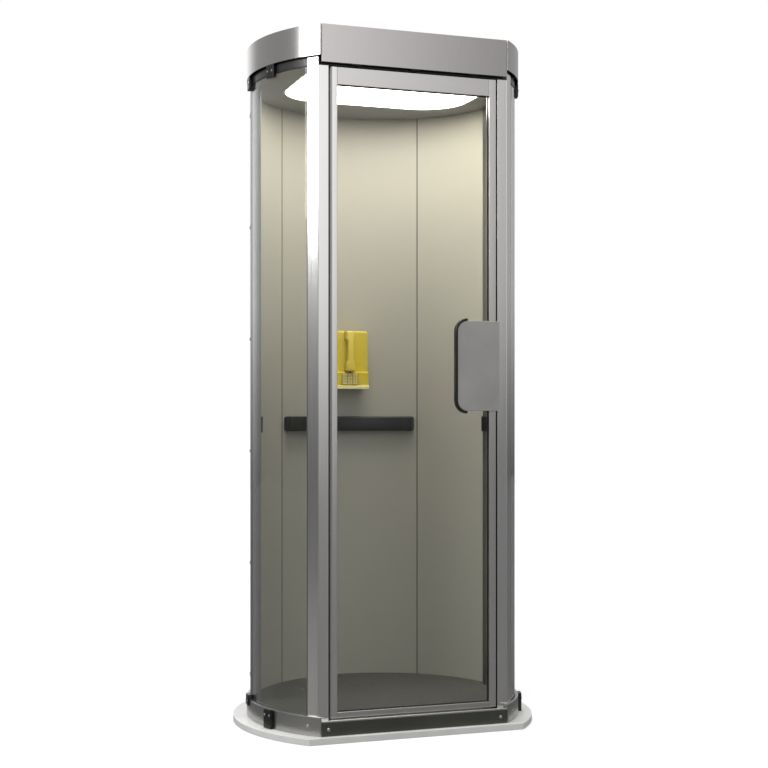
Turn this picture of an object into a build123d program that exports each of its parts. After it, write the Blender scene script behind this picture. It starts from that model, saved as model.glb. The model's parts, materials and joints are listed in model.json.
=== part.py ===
from build123d import *
import os
from math import atan2, cos, degrees, radians, sin, sqrt

# One-person telephone booth, round in plan with a flat glazed front. Millimetres, +Z up.
# The origin is on the axis of the round plan, on the ground. The door faces -Y, +X is its right.
# Angles on the plan are in degrees from the back centre (+Y), positive towards +X.

# Overall sizes
plan_radius = 465.0        # outside of the fascia and of the plinth
front_distance = 334.0     # axis to the flat front of the fascia and the plinth
booth_height = 2250.0      # top of the slab to the top of the fascia
slab_height = 20.0
slab_margin = 46.0         # slab beyond the round plinth
slab_front_margin = 22.0   # and beyond its flat front
sheet = 3.0                # folded steel sheet of the fascia and the plinth
fit = 0.5                  # clearance where one sheet part drops inside another

# Base
frame_height = 44.0        # channel ring that carries everything
frame_wall = 4.0
frame_width = 56.0
plinth_height = 62.0       # curved skirt, taller than the front by a step
sill_thickness = 6.0
floor_thickness = 3.0
anchor_radius = 433.0      # circle of the four anchor holes
anchor_hole = 7.0          # hole radius, for M12

# Walls
wall_inset = 12.0          # glass and panels stand inside the fascia line
wall_thickness = 8.0
door_inset = 18.0          # face of the door and the corner posts behind the flat front
post_face = 33.5           # corner post seen from the front
post_wrap = 40.0           # corner post seen from the side, along the curve
post_depth = 34.0
post_wall = 3.0
post_skin = 1.5            # outer skin of a corner post, which runs up over the header
rear_post_angle = 81.4
rear_post_width = 56.0
rear_post_depth = 33.0
seam_angle = 36.0          # joints between the rear panels
seal = 3.0                 # rubber between glass and posts, and between the panels

# Roof
fascia_depth = 100.0       # curved band
front_fascia_depth = 121.0
header_height = 42.0
header_lip = 6.0           # header below the front fascia
header_width = 48.0
roof_drop = 4.0            # roof pan below the top of the fascia
roof_rim = 20.0
roof_sheet = 2.0
bracket_width = 30.0       # brackets that hold the fascia off the header
bracket_pitch = 200.0
light_half = 332.0         # opening of the luminous ceiling, each side of the middle
light_front = 244.0
light_back = 212.0
light_corner = 160.0       # its back corners
light_reach = 388.0        # its front corners, from the axis
light_lip = 8.0
diffuser_thickness = 4.0
tray_height = 60.0
tray_wall = 1.5
strip_pitch = 120.0
strip_setback = 45.0       # lamp strips inside the opening at the back

# Door
side_gap = 4.0
head_gap = 8.0
foot_gap = 3.0
leaf_depth = 24.0
stile_flat = 1.0           # face of a stile beyond the depth of the leaf
top_rail_height = 56.0
bottom_rail_height = 18.0
door_glass_thickness = 6.0
groove_depth = 6.0
groove_width = 10.0
glass_hold = 5.0           # glass inside each groove
gasket_proud = 2.0
pin_radius = 5.0
running = 0.05             # radial clearance of a pin in its bush
bush_wall = 1.5
pin_reach = 16.0
spindle_reach = 38.0
stile_round = 2.0
seal_overlap = 8.0
closer_length = 215.0      # from the pivot towards the middle of the door
closer_end = 25.0
closer_depth = 42.0
closer_height = 32.0

# Pull plate, on the door
plate_width = 146.0
plate_height = 294.0
plate_centre = 1175.0      # above the slab
plate_corner = 35.0
plate_standoff = 22.0
grip_width = 8.0
grip_depth = 20.0
standoff_radius = 9.0
standoff_spread = 100.0
stud_radius = 5.0

# Rail on the rear wall, and the black clamps that hold the curved glass
rail_angle = 34.5
rail_bottom = 956.0
rail_height = 54.0
rail_depth = 38.0
rail_corner = 6.0
clamp_width = 40.0
clamp_depth = 13.0
clamp_middle = 109.0       # clamps half way along the side glass
clamp_drop = 16.0
foot_clamp_depth = 6.0     # over the skirt, at the rear posts
foot_clamp_low = 21.0
foot_clamp_rise = 16.0     # above the skirt
base_clamp_depth = 12.0    # in front of the skirt, half way along the glass
cover_depth = 6.0

# Telephone
phone_width = 148.0
phone_bottom = 1111.0
phone_depth = 79.0         # wall to the face over the keys
phone_wall = 3.0
cradle_setback = 10.0      # cradle face behind the key face
phone_lip = 15.0
lip_proud = 6.0
key_columns = 3
key_rows = 4
key_width = 15.0
key_height = 7.5
key_pitch_x = 20.0
key_pitch_z = 10.5
key_gap = 0.3
key_travel = 2.0
key_proud = 2.5
bezel = 3.0
handset_length = 148.0
handset_cup = 34.0
handset_grip_width = 22.0
handset_grip_depth = 16.0
handset_depth = 36.0
pocket_depth = 6.0
pocket_gap = 0.6
handset_top_margin = 2.0
handset_key_gap = 7.0      # handset above the keys
hook_radius = 4.0
hook_travel = 3.0
back_plate_depth = 13.0
board_thickness = 2.0
gland_radius = 8.0
gland_flange = 14.0
key_names = ("1", "2", "3", "4", "5", "6", "7", "8", "9", "star", "0", "hash")

# Levels
ground = slab_height
roof_top = ground + booth_height
frame_top = ground + frame_height
sill_top = frame_top + sill_thickness
front_fascia_bottom = roof_top - front_fascia_depth
header_bottom = front_fascia_bottom - header_lip
header_top = header_bottom + header_height
band_bottom = roof_top - fascia_depth
leaf_bottom = sill_top + foot_gap
leaf_top = front_fascia_bottom - head_gap
ceiling_bottom = header_bottom - sheet

phone_height = phone_lip + key_rows * key_pitch_z + handset_key_gap + handset_length + handset_top_margin

# Plan
wall_radius = plan_radius - wall_inset
inner_radius = wall_radius - wall_thickness
door_plane = front_distance - door_inset
frame_radius = plan_radius - sheet - fit
frame_front = front_distance - sheet - fit
corner_x = sqrt(wall_radius**2 - door_plane**2)
corner_angle = 180 - degrees(atan2(corner_x, door_plane))
post_end = corner_angle - degrees(post_wrap / wall_radius)
rear_post_half = degrees(rear_post_width / 2 / wall_radius)
rear_post_start = rear_post_angle - rear_post_half
rear_post_end = rear_post_angle + rear_post_half
seal_angle = degrees(seal / wall_radius)
post_x = corner_x - post_face
post_back = door_plane - post_depth
leaf_half = post_x - side_gap
stile_width = leaf_depth + stile_flat
leaf_y = -door_plane + leaf_depth / 2
pivot_x = -leaf_half + leaf_depth / 2
opening_half = leaf_half - stile_width


def polar(radius, angle):
    return (radius * sin(radians(angle)), radius * cos(radians(angle)))


def prism(outline, low, high):
    return Pos(0, 0, low) * extrude(outline, high - low)


def block(x0, x1, y0, y1, z0, z1):
    centre = Pos((x0 + x1) / 2, (y0 + y1) / 2, (z0 + z1) / 2)
    return centre * Box(x1 - x0, y1 - y0, z1 - z0)


def rod(x, y, radius, low, high):
    return Pos(x, y, (low + high) / 2) * Cylinder(radius, high - low)


def rod_y(x, z, radius, y0, y1):
    return Pos(x, (y0 + y1) / 2, z) * Rot(90, 0, 0) * Cylinder(radius, y1 - y0)


def plan_shape(radius, front, low, high):
    """Disc cut off by the flat front, as a slab between two levels."""
    x = sqrt(radius**2 - front**2)
    chord = Line((-x, -front), (x, -front))
    return prism(make_face([chord, ThreePointArc((x, -front), (0, radius), (-x, -front))]), low, high)


def curved_wall(inner, outer, start, end, low, high):
    """Stretch of round wall between two angles."""
    middle = (start + end) / 2
    outline = [
        ThreePointArc(polar(outer, start), polar(outer, middle), polar(outer, end)),
        Line(polar(outer, end), polar(inner, end)),
        ThreePointArc(polar(inner, end), polar(inner, middle), polar(inner, start)),
        Line(polar(inner, start), polar(outer, start)),
    ]
    return prism(make_face(outline), low, high)


def plan_channel(radius, front, width, front_width, low, high):
    """Ring channel that follows the plan and opens inwards."""
    ring = plan_shape(radius, front, low, high)
    ring -= plan_shape(radius - width, front - front_width, low, high)
    cavity = plan_shape(radius - frame_wall, front - frame_wall, low + frame_wall, high - frame_wall)
    return ring - cavity


def mirrored(shape):
    return mirror(shape, about=Plane.YZ)


def save(name, shape):
    export_step(shape, f"parts/{name}.step")


def corner_post_outline():
    end, middle = post_end, (post_end + corner_angle) / 2
    return make_face([
        Line((post_x, -door_plane), (corner_x, -door_plane)),
        ThreePointArc((corner_x, -door_plane), polar(wall_radius, middle), polar(wall_radius, end)),
        Line(polar(wall_radius, end), polar(wall_radius - post_depth, end)),
        Line(polar(wall_radius - post_depth, end), (post_x, -post_back)),
        Line((post_x, -post_back), (post_x, -door_plane)),
    ])


def rear_post_solid(gap, low, high):
    spread = degrees(gap / wall_radius)
    return curved_wall(wall_radius - rear_post_depth - gap, wall_radius,
                       rear_post_start - spread, rear_post_end + spread, low, high)


def clear_of_posts(plate, low, high):
    """Notches a floor or ceiling plate round the four posts."""
    corner = prism(offset(corner_post_outline(), fit), low, high)
    for tool in (corner, rear_post_solid(fit, low, high)):
        plate -= tool
        plate -= mirrored(tool)
    return plate


def make_base():
    holes = [polar(anchor_radius, angle) for angle in (45, 135, 225, 315)]
    slab = plan_shape(plan_radius + slab_margin, front_distance + slab_front_margin, 0, ground)
    front_width = frame_front - post_back + rear_post_depth / 2
    frame = plan_channel(frame_radius, frame_front, frame_width, front_width, ground, frame_top)
    for x, y in holes:
        slab -= rod(x, y, anchor_hole, 0, ground)
        frame -= rod(x, y, anchor_hole, ground, ground + frame_wall)
    save("base_slab", slab)
    save("base_frame", frame)

    skirt_top = ground + plinth_height
    skirt = plan_shape(plan_radius, front_distance, ground, skirt_top)
    skirt -= rod(0, 0, plan_radius - sheet, ground, skirt_top - sheet)
    skirt -= rod(0, 0, wall_radius + post_skin + fit, ground, skirt_top)
    save("plinth_skirt", skirt)

    front_half = sqrt((plan_radius - sheet)**2 - front_distance**2) - fit
    front = block(-front_half, front_half, -front_distance, sheet - front_distance, ground, frame_top)
    save("plinth_front", front)

    tread_back = post_back - fit
    post_clear = door_plane + post_skin + fit
    sill = plan_shape(frame_radius, front_distance, frame_top, sill_top)
    sill -= block(-plan_radius, plan_radius, -tread_back, plan_radius, frame_top, sill_top)
    for side in (1, -1):
        edges = sorted((side * (post_x - fit), side * plan_radius))
        sill -= block(*edges, -post_clear, -tread_back, frame_top, sill_top)
    sill -= rod(pivot_x, leaf_y, pin_radius, frame_top, sill_top)
    nosing = sill.edges().filter_by(Axis.X).group_by(Axis.Y)[0].group_by(Axis.Z)[-1]
    save("door_sill", fillet(nosing, sill_thickness / 3))

    floor_front = tread_back - fit
    plate_top = frame_top + floor_thickness
    plate = plan_shape(inner_radius - fit, floor_front, frame_top, plate_top)
    save("floor_plate", clear_of_posts(plate, frame_top, plate_top))
    mat = plan_shape(inner_radius - 2 * fit, floor_front, plate_top, sill_top)
    save("floor_mat", clear_of_posts(mat, plate_top, sill_top))


def make_posts():
    outline = corner_post_outline()
    profile = outline - offset(outline, -post_wall, kind=Kind.INTERSECTION)
    post = prism(profile, frame_top, header_bottom)
    post += curved_wall(wall_radius, wall_radius + post_skin, post_end, corner_angle,
                        frame_top, band_bottom)
    save("corner_post_right", post)
    save("corner_post_left", mirrored(post))

    rear = rear_post_solid(0, frame_top, header_bottom)
    wall_spread = degrees(post_wall / wall_radius)
    rear -= curved_wall(wall_radius - rear_post_depth + post_wall, wall_radius - post_wall,
                        rear_post_start + wall_spread, rear_post_end - wall_spread,
                        frame_top, header_bottom)
    save("rear_posts", Compound([rear, mirrored(rear)]))


def make_walls():
    low, high = frame_top, header_bottom
    glass = curved_wall(inner_radius, wall_radius, rear_post_end + seal_angle, post_end - seal_angle,
                        low + seal, high - seal)
    save("side_glass_right", glass)
    save("side_glass_left", mirrored(glass))
    gasket = curved_wall(inner_radius, wall_radius, rear_post_end, post_end, low, high) - glass

    half_seal = seal_angle / 2
    centre = curved_wall(inner_radius, wall_radius, half_seal - seam_angle, seam_angle - half_seal,
                         low, high)
    phone_middle = ground + phone_bottom + phone_height / 2
    centre -= rod_y(0, phone_middle, gland_radius + running, inner_radius - 1, wall_radius + 1)
    save("rear_panel_centre", centre)
    side = curved_wall(inner_radius, wall_radius, seam_angle + half_seal, rear_post_start, low, high)
    save("rear_panel_right", side)
    save("rear_panel_left", mirrored(side))

    strip = curved_wall(inner_radius, wall_radius, seam_angle - half_seal, seam_angle + half_seal,
                        low, high)
    save("wall_seals", Compound([gasket, mirrored(gasket), strip, mirrored(strip)]))

    joint = rear_post_end
    half = degrees(clamp_width / 2 / wall_radius)
    skirt_top = ground + plinth_height
    clamp_low, clamp_high = skirt_top - foot_clamp_low, skirt_top + foot_clamp_rise
    foot = curved_wall(plan_radius, plan_radius + foot_clamp_depth, joint - half, joint + half,
                       clamp_low, clamp_high)
    foot += curved_wall(wall_radius, plan_radius, joint - half, joint + half, skirt_top, clamp_high)
    blocks = [
        foot,
        curved_wall(plan_radius, plan_radius + base_clamp_depth, clamp_middle - half,
                    clamp_middle + half, ground, skirt_top),
        curved_wall(wall_radius - rear_post_depth - cover_depth, wall_radius - rear_post_depth,
                    rear_post_start, rear_post_end,
                    ground + rail_bottom, ground + rail_bottom + rail_height),
    ]
    for angle in (joint, clamp_middle):
        blocks.append(curved_wall(wall_radius, wall_radius + clamp_depth, angle - half, angle + half,
                                  header_bottom - clamp_drop, band_bottom))
    save("glass_clamps", Compound(blocks + [mirrored(b) for b in blocks]))

    rail = curved_wall(inner_radius - rail_depth, inner_radius, -rail_angle, rail_angle,
                       ground + rail_bottom, ground + rail_bottom + rail_height)
    corners = rail.edges().filter_by(Axis.Z).sort_by(lambda e: e.center().Y)[:2]
    save("wall_rail", fillet(corners, rail_corner))


def make_roof():
    front_width = door_plane - post_back + 20
    header = plan_channel(wall_radius, door_plane, header_width, front_width,
                          header_bottom, header_top)
    header -= rod(pivot_x, leaf_y, pin_radius + 2, header_bottom, header_bottom + frame_wall)
    save("header_frame", header)

    band = plan_shape(plan_radius, front_distance, band_bottom, roof_top)
    band -= rod(0, 0, plan_radius - sheet, band_bottom, roof_top)
    save("fascia_band", band)
    half = sqrt((plan_radius - sheet)**2 - front_distance**2) - fit
    front = block(-half, half, -front_distance, sheet - front_distance, front_fascia_bottom, roof_top)
    save("fascia_front", front)

    pan_top = roof_top - roof_drop
    rim_bottom = pan_top - roof_rim
    pan = plan_shape(frame_radius, frame_front, rim_bottom, pan_top)
    pan -= plan_shape(frame_radius - roof_sheet, frame_front - roof_sheet, rim_bottom,
                      pan_top - roof_sheet)
    save("roof_pan", pan)

    half = degrees(bracket_width / 2 / wall_radius)
    brackets = [curved_wall(wall_radius, plan_radius - sheet, angle - half, angle + half,
                            band_bottom + sheet, rim_bottom)
                for angle in range(-120, 121, 40)]
    for x in (-bracket_pitch, 0, bracket_pitch):
        brackets.append(block(x - bracket_width / 2, x + bracket_width / 2,
                              sheet - front_distance, -door_plane,
                              header_bottom + frame_wall, rim_bottom))
    save("fascia_brackets", Compound(brackets))


def light_shape(grow, low, high):
    """Opening of the luminous ceiling with its back corners rounded, inside the header ring."""
    half, front, back = light_half + grow, light_front + grow, light_back + grow
    shape = block(-half, half, -front, back, low, high)
    corners = shape.edges().filter_by(Axis.Z).group_by(Axis.Y)[-1]
    return fillet(corners, light_corner + grow) & rod(0, 0, light_reach + grow, low, high)


def make_ceiling():
    panel = plan_shape(inner_radius - fit, post_back - 2 * fit, ceiling_bottom, header_bottom)
    panel -= light_shape(0, ceiling_bottom, header_bottom)
    save("ceiling_panel", clear_of_posts(panel, ceiling_bottom, header_bottom))

    save("light_diffuser", light_shape(light_lip, header_bottom, header_bottom + diffuser_thickness))
    tray_top = header_bottom + tray_height
    tray = light_shape(light_lip + fit + tray_wall, header_bottom, tray_top)
    tray -= light_shape(light_lip + fit, header_bottom, tray_top - tray_wall)
    save("lamp_tray", tray)

    strips = []
    for step in (-2, -1, 0, 1, 2):
        x = step * strip_pitch
        strips.append(block(x - 10, x + 10, 30 - light_front, light_back - strip_setback,
                            tray_top - tray_wall - 8, tray_top - tray_wall))
    save("light_strips", Compound(strips))


def make_door_frame():
    groove_low = leaf_bottom + bottom_rail_height - groove_depth
    groove_high = leaf_top - top_rail_height + groove_depth
    front, back = leaf_y - leaf_depth / 2, leaf_y + leaf_depth / 2
    groove_front, groove_back = leaf_y - groove_width / 2, leaf_y + groove_width / 2
    groove_half = opening_half + groove_depth
    groove = block(-groove_half, groove_half, groove_front, groove_back, groove_low, groove_high)

    nose = rod(pivot_x, leaf_y, leaf_depth / 2, leaf_bottom, leaf_top)
    hinge = nose + block(pivot_x, -opening_half, front, back, leaf_bottom, leaf_top)
    hinge -= groove
    bush_radius = pin_radius + running + bush_wall
    hinge -= rod(pivot_x, leaf_y, pin_radius, leaf_top - spindle_reach, leaf_top)
    hinge -= rod(pivot_x, leaf_y, bush_radius, leaf_bottom, leaf_bottom + pin_reach)
    hinge -= rod(pivot_x, leaf_y, pin_radius, leaf_bottom + 3 * pin_reach, leaf_top - 2 * spindle_reach)
    save("hinge_stile", hinge)

    lock = block(opening_half, leaf_half, front, back, leaf_bottom, leaf_top)
    outer = lock.edges().filter_by(Axis.Z).group_by(Axis.X)[-1]
    lock = fillet(outer, stile_round) - groove
    lock -= block(groove_half + post_wall, leaf_half - post_wall, front + post_wall, back - post_wall,
                  leaf_bottom, leaf_top)
    save("lock_stile", lock)

    top = block(-opening_half, opening_half, front, back, leaf_top - top_rail_height, leaf_top) - groove
    top -= block(-opening_half, opening_half, front + post_wall, back - post_wall,
                 groove_high + post_wall, leaf_top - post_wall)
    save("door_top_rail", top)
    bottom = block(-opening_half, opening_half, front, back, leaf_bottom,
                   leaf_bottom + bottom_rail_height)
    save("door_bottom_rail", bottom - groove)


def make_door_glass():
    glass_half = opening_half + glass_hold
    low = leaf_bottom + bottom_rail_height - glass_hold
    high = leaf_top - top_rail_height + glass_hold
    half = door_glass_thickness / 2
    glass = block(-glass_half, glass_half, leaf_y - half, leaf_y + half, low, high)
    edge = groove_depth - glass_hold
    rim_half = groove_width / 2
    gasket = block(-glass_half - edge, glass_half + edge, leaf_y - rim_half, leaf_y + rim_half,
                   low - edge, high + edge)
    inside = glass_hold + gasket_proud
    gasket -= block(inside - glass_half, glass_half - inside, leaf_y - rim_half, leaf_y + rim_half,
                    low + inside, high - inside)
    save("door_gasket", gasket - glass)
    for z in plate_bolt_heights():
        glass -= rod_y(plate_bolt_x(), z, stud_radius + fit, leaf_y - half, leaf_y + half)
    save("door_glass", glass)


def plate_bolt_heights():
    middle = ground + plate_centre
    return (middle - standoff_spread, middle + standoff_spread)


def plate_bolt_x():
    return leaf_half - plate_width * 2 / 3


def make_pull():
    face = -door_plane - plate_standoff
    middle = ground + plate_centre
    left, right = leaf_half - plate_width, leaf_half
    low, high = middle - plate_height / 2, middle + plate_height / 2

    def rounded(grow, y0, y1):
        slab = block(left - grow, right, y0, y1, low - grow, high + grow)
        edges = slab.edges().filter_by(Axis.Y).group_by(Axis.X)[0]
        return fillet(edges, plate_corner + grow)

    save("pull_plate", rounded(0, face - sheet, face))
    grip = rounded(grip_width, face - sheet - 2, face - sheet - 2 + grip_depth)
    grip -= rounded(0, face - sheet - 2, face - sheet - 2 + grip_depth)
    grip &= block(left - grip_width, left + plate_corner, face - 2 * grip_depth, -door_plane,
                  low - grip_width, high + grip_width)
    save("pull_grip", grip)

    pieces = []
    glass_front = leaf_y - door_glass_thickness / 2
    glass_back = leaf_y + door_glass_thickness / 2
    for z in plate_bolt_heights():
        pieces.append(rod_y(leaf_half - stile_width / 2, z, standoff_radius, face, -door_plane))
        post = rod_y(plate_bolt_x(), z, standoff_radius, face, glass_front)
        pieces.append(post + rod_y(plate_bolt_x(), z, stud_radius, glass_front, glass_back + 2))
        cap = rod_y(plate_bolt_x(), z, standoff_radius + 2, glass_back, glass_back + 6)
        pieces.append(cap - rod_y(plate_bolt_x(), z, stud_radius, glass_back, glass_back + 2))
    save("pull_standoffs", Compound(pieces))


def make_pivots():
    closer_low = header_bottom + frame_wall
    closer_front = frame_wall - door_plane
    closer = block(pivot_x - closer_end, pivot_x + closer_length, closer_front, closer_front + closer_depth,
                   closer_low, closer_low + closer_height)
    spindle_top = closer_low + closer_height * 2 / 3
    closer -= rod(pivot_x, leaf_y, pin_radius + running, closer_low, spindle_top + 1)
    save("door_closer", closer)
    save("top_spindle", rod(pivot_x, leaf_y, pin_radius, leaf_top - spindle_reach, spindle_top))

    pin_top = leaf_bottom + pin_reach
    save("bottom_pivot", rod(pivot_x, leaf_y, pin_radius, frame_top, pin_top - 1))
    bush = rod(pivot_x, leaf_y, pin_radius + running + bush_wall, leaf_bottom, pin_top)
    save("pivot_bush", bush - rod(pivot_x, leaf_y, pin_radius + running, leaf_bottom, pin_top))

    stop_front = leaf_depth + fit - door_plane
    stop_inner = leaf_half - seal_overlap
    jamb = block(stop_inner, post_x, stop_front, -post_back, sill_top, header_bottom)
    head = block(-stop_inner, stop_inner, stop_front, -post_back, leaf_top - seal_overlap, header_bottom)
    save("door_seal", Compound([jamb, mirrored(jamb), head]))


def make_phone():
    low = ground + phone_bottom
    high = low + phone_height
    half = phone_width / 2
    key_face = inner_radius - phone_depth
    cradle_face = key_face + cradle_setback
    back = inner_radius - back_plate_depth
    keys_low = low + phone_lip
    keys_high = keys_low + key_rows * key_pitch_z
    step = keys_high + 2

    side = [(back, low), (key_face - lip_proud, low), (key_face - lip_proud, keys_low - 6),
            (key_face, keys_low), (key_face, step), (cradle_face, step + cradle_setback / 2),
            (cradle_face, high), (back, high)]
    outline = Plane.YZ * make_face(Polyline(*side, close=True))
    housing = extrude(outline, half, both=True)
    rims = housing.edges().filter_by(Axis.Z).group_by(Axis.Y)[:3]
    upright = [e for group in rims for e in group if e.center().Y < back - 5]
    housing = fillet(upright, 4)
    top_edge = housing.edges().filter_by(Axis.X).group_by(Axis.Z)[-1].sort_by(Axis.Y)[0]
    housing = fillet(top_edge, 8)

    hollow = phone_wall + pocket_depth + 1
    hook_z = high - handset_top_margin - handset_cup / 2
    hook_back = cradle_face + hollow + key_gap + 2
    housing -= block(phone_wall - half, half - phone_wall, cradle_face + hollow, back,
                     low + phone_wall, high - phone_wall)
    housing -= block(phone_wall - half, half - phone_wall, key_face + phone_wall, back,
                     low + phone_wall, keys_high)
    pad_half = (key_columns * key_pitch_x) / 2 + 1
    housing -= block(-pad_half, pad_half, key_face, key_face + phone_wall, keys_low, keys_high)

    cup = handset_cup / 2 + pocket_gap
    handset_high = high - handset_top_margin
    handset_low = handset_high - handset_length
    for z in (handset_low + handset_cup / 2, handset_high - handset_cup / 2):
        housing -= block(-cup, cup, cradle_face - 1, cradle_face + pocket_depth, z - cup, z + cup)
    housing -= rod_y(0, hook_z, hook_radius + key_gap, cradle_face, cradle_face + hollow)
    save("phone_housing", housing)

    plate = block(phone_wall + fit - half, half - phone_wall - fit, back - 3, inner_radius,
                  low + phone_wall + fit, high - phone_wall - fit)
    plate &= rod(0, 0, inner_radius, low, high)
    plate -= rod_y(0, (low + high) / 2, gland_flange + fit, back - 4, inner_radius + 1)
    save("phone_back_plate", plate)
    hook = rod_y(0, hook_z, hook_radius, cradle_face + pocket_depth - key_gap, hook_back)
    hook += rod_y(0, hook_z, hook_radius + 2, hook_back - 2, hook_back)
    save("hook_plunger", hook)

    board_front = hook_back + hook_travel + key_gap
    board_back = board_front + board_thickness
    board = block(20 - half, half - 20, board_front, board_back, keys_low, high - 8)
    for x in (30 - half, half - 30):
        for z in (keys_low + 14, high - 30):
            board += rod_y(x, z, 4, board_back, back - 3)
    save("circuit_board", board)

    gland = rod_y(0, (low + high) / 2, gland_radius, back + 4, wall_radius)
    gland += rod_y(0, (low + high) / 2, gland_flange, wall_radius, wall_radius + 6)
    gland -= rod_y(0, (low + high) / 2, gland_radius / 2, back, wall_radius + 6)
    save("cable_gland", gland)
    make_keypad(key_face, keys_low, keys_high, pad_half, board_front - key_travel - key_gap)
    make_handset(cradle_face, handset_low, handset_high)


def make_keypad(key_face, keys_low, keys_high, pad_half, stem_end):
    frame = block(-pad_half - 2, pad_half + 2, key_face - bezel, key_face, keys_low, keys_high + 1)
    hole_x, hole_z = key_width / 2 + key_gap, key_height / 2 + key_gap
    for number, name in enumerate(key_names):
        row, column = divmod(number, key_columns)
        x = (column - (key_columns - 1) / 2) * key_pitch_x
        z = keys_high - (row + 0.5) * key_pitch_z
        frame -= block(x - hole_x, x + hole_x, key_face - bezel, key_face, z - hole_z, z + hole_z)
        front = key_face - bezel - key_proud
        key = block(x - key_width / 2, x + key_width / 2, front, key_face + key_gap,
                    z - key_height / 2, z + key_height / 2)
        key = fillet(key.faces().sort_by(Axis.Y)[0].edges(), 1)
        key += block(x - key_width / 2 - 1, x + key_width / 2 + 1, key_face + key_gap,
                     key_face + key_gap + 2, z - key_height / 2 - 1, z + key_height / 2 + 1)
        key += rod_y(x, z, 2, key_face + key_gap, stem_end)
        save(f"key_{name}", key)
    save("keypad_frame", frame)


def make_handset(cradle_face, low, high):
    back = cradle_face + pocket_depth - pocket_gap
    front = back - handset_depth
    half_cup = handset_cup / 2
    cups = [block(-half_cup, half_cup, front, back, z, z + handset_cup)
            for z in (low, high - handset_cup)]
    cups = [fillet(cup.edges().filter_by(Axis.Y), 8) for cup in cups]
    grip = block(-handset_grip_width / 2, handset_grip_width / 2, front, front + handset_grip_depth,
                 low + half_cup, high - half_cup)
    handset = cups[0] + cups[1] + grip
    outer = handset.edges().filter_by(lambda e: e.center().Y < front + 0.01)
    handset = fillet(outer, 3)
    handset += rod(0, front + handset_grip_depth, 4, low - 5, low + 4)
    save("handset", handset)


os.makedirs("parts", exist_ok=True)
make_base()
make_posts()
make_walls()
make_roof()
make_ceiling()
make_door_frame()
make_door_glass()
make_pull()
make_pivots()
make_phone()
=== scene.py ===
import json
from math import cos, pi, radians, sin

import bmesh
import bpy
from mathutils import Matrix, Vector


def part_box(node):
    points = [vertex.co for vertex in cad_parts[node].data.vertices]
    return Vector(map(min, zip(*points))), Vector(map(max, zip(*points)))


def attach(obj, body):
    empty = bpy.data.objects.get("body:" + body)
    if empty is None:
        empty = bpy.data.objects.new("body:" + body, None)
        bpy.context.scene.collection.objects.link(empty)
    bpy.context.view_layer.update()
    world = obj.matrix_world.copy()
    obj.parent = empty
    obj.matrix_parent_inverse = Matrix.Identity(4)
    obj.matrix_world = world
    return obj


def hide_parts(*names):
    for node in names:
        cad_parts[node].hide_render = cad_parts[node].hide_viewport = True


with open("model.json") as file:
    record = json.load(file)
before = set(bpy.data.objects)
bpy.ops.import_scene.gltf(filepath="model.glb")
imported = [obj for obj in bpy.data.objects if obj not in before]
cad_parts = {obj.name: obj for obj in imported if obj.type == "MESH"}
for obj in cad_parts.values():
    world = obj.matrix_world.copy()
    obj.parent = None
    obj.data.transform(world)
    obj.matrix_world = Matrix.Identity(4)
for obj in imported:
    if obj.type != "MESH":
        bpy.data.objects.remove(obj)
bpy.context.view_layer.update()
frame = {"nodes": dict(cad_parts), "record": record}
nodes = frame["nodes"]
record = frame["record"]
bodyOf = {node: body for body, names in record["behaviour"]["bodies"].items() for node in names}
print("frame loaded:", len(nodes), "nodes")


def newMaterial(name):
    material = bpy.data.materials.new(name)
    material.use_nodes = True
    tree = material.node_tree
    return material, tree, tree.nodes["Principled BSDF"]


def objectCoords(tree, scale=(1, 1, 1)):
    coords = tree.nodes.new("ShaderNodeTexCoord")
    mapping = tree.nodes.new("ShaderNodeMapping")
    mapping.inputs["Scale"].default_value = scale
    tree.links.new(coords.outputs["Object"], mapping.inputs["Vector"])
    return mapping.outputs["Vector"]


def noise(tree, vector, scale, detail=3, roughness=0.5):
    node = tree.nodes.new("ShaderNodeTexNoise")
    node.inputs["Scale"].default_value = scale
    node.inputs["Detail"].default_value = detail
    node.inputs["Roughness"].default_value = roughness
    tree.links.new(vector, node.inputs["Vector"])
    return node.outputs["Fac"]


def spread(tree, value, low, high, fromLow=0.3, fromHigh=0.7):
    node = tree.nodes.new("ShaderNodeMapRange")
    node.inputs["From Min"].default_value = fromLow
    node.inputs["From Max"].default_value = fromHigh
    node.inputs["To Min"].default_value = low
    node.inputs["To Max"].default_value = high
    tree.links.new(value, node.inputs["Value"])
    return node.outputs["Result"]


def colourRamp(tree, value, stops):
    node = tree.nodes.new("ShaderNodeValToRGB")
    ramp = node.color_ramp
    while len(ramp.elements) < len(stops):
        ramp.elements.new(0.5)
    for element, (place, colour) in zip(ramp.elements, stops):
        element.position = place
        element.color = (*colour, 1)
    tree.links.new(value, node.inputs["Fac"])
    return node.outputs["Color"]


def bump(tree, shader, height, distance, strength=0.5):
    node = tree.nodes.new("ShaderNodeBump")
    node.inputs["Distance"].default_value = distance
    node.inputs["Strength"].default_value = strength
    tree.links.new(height, node.inputs["Height"])
    tree.links.new(node.outputs["Normal"], shader.inputs["Normal"])


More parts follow.
